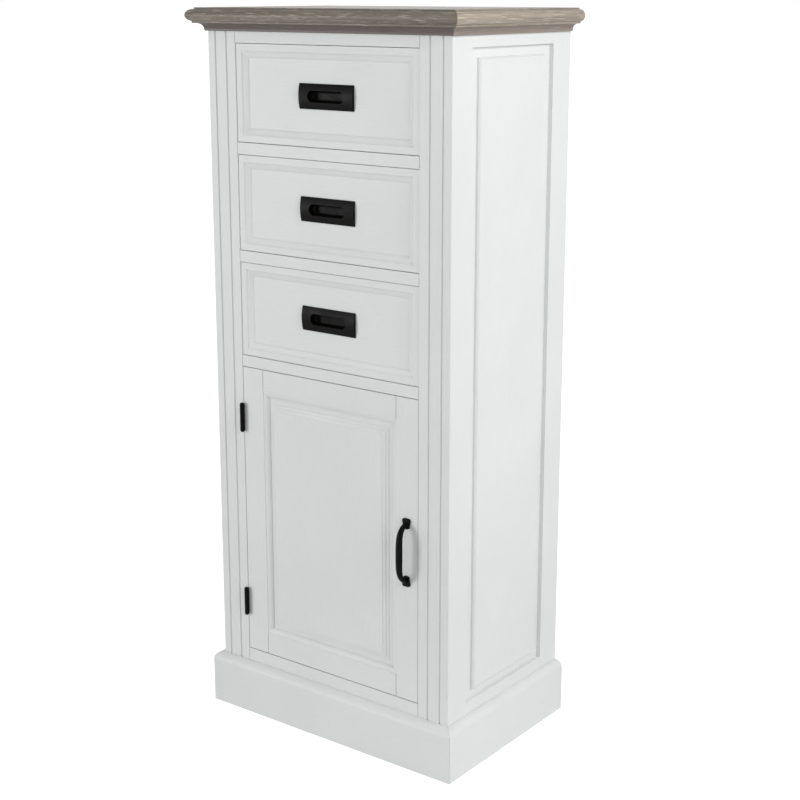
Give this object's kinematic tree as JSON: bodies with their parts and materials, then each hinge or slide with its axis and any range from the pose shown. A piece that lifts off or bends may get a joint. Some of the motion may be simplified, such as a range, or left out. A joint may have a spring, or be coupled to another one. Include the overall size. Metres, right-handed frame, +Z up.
{
  "type": "highboard",
  "caption": "Tall narrow floor-standing cabinet: inset moulded drawers above one raised-panel door, reeded front posts, raised side panels, moulded top and plinth.",
  "frame": {"origin": "on the floor, under the middle of the whole outline", "axes": "+X to the right of a person who faces the front, +Y to the back, +Z up"},
  "size_m": [0.534, 0.351, 1.2],
  "materials": {
    "white_lacquer": "cool white satin lacquer",
    "weathered_wood": "weathered brown-grey oiled wood",
    "inner_wood": "plain birch board, matt",
    "black_iron": "satin black",
    "steel": "zinc plated",
    "catch_plastic": "matt"
  },
  "bodies": {
    "case": {"back_panel": "inner_wood", "cornice_front": "weathered_wood", "cornice_left": "weathered_wood", "cornice_right": "weathered_wood", "door_catch": "catch_plastic", "door_head_rail": "white_lacquer", "drawer_divider_1": "white_lacquer", "drawer_divider_2": "white_lacquer", "drawer_runners": "inner_wood", "dust_board": "inner_wood", "floor_board": "inner_wood", "front_bottom_rail": "white_lacquer", "front_top_rail": "white_lacquer", "hinge_frame_leaves": "black_iron", "hinge_frame_screws": "black_iron", "hinge_pins": "black_iron", "plinth_front": "white_lacquer", "plinth_left": "white_lacquer", "plinth_right": "white_lacquer", "post_left": "white_lacquer", "post_right": "white_lacquer", "shelf": "inner_wood", "shelf_supports": "steel", "side_bottom_rail_left": "white_lacquer", "side_bottom_rail_right": "white_lacquer", "side_panel_left": "white_lacquer", "side_panel_right": "white_lacquer", "side_rear_stile_left": "white_lacquer", "side_rear_stile_right": "white_lacquer", "side_top_rail_left": "white_lacquer", "side_top_rail_right": "white_lacquer", "top_panel": "weathered_wood"},
    "drawer_1": {"drawer_1_back": "inner_wood", "drawer_1_bottom": "inner_wood", "drawer_1_front": "white_lacquer", "drawer_1_pull": "black_iron", "drawer_1_side_left": "inner_wood", "drawer_1_side_right": "inner_wood"},
    "drawer_2": {"drawer_2_back": "inner_wood", "drawer_2_bottom": "inner_wood", "drawer_2_front": "white_lacquer", "drawer_2_pull": "black_iron", "drawer_2_side_left": "inner_wood", "drawer_2_side_right": "inner_wood"},
    "drawer_3": {"drawer_3_back": "inner_wood", "drawer_3_bottom": "inner_wood", "drawer_3_front": "white_lacquer", "drawer_3_pull": "black_iron", "drawer_3_side_left": "inner_wood", "drawer_3_side_right": "inner_wood"},
    "door": {"door_bottom_rail": "white_lacquer", "door_handle": "black_iron", "door_hinge_stile": "white_lacquer", "door_lock_stile": "white_lacquer", "door_panel": "white_lacquer", "door_strike_plate": "steel", "door_top_rail": "white_lacquer", "handle_screws": "steel", "hinge_door_leaves": "black_iron", "hinge_door_screws": "black_iron"}
  },
  "joints": [
    {"name": "drawer_1_slide", "type": "slide", "parent": "case", "child": "drawer_1", "axis": [0, -1, 0], "range_m": [0, 0.22]},
    {"name": "drawer_2_slide", "type": "slide", "parent": "case", "child": "drawer_2", "axis": [0, -1, 0], "range_m": [0, 0.22]},
    {"name": "drawer_3_slide", "type": "slide", "parent": "case", "child": "drawer_3", "axis": [0, -1, 0], "range_m": [0, 0.22]},
    {"name": "door_hinge", "type": "hinge", "parent": "case", "child": "door", "pos_m": [-0.1819, -0.154, 0.36475], "axis": [0, 0, -1], "range_deg": [0, 120]}
  ]
}
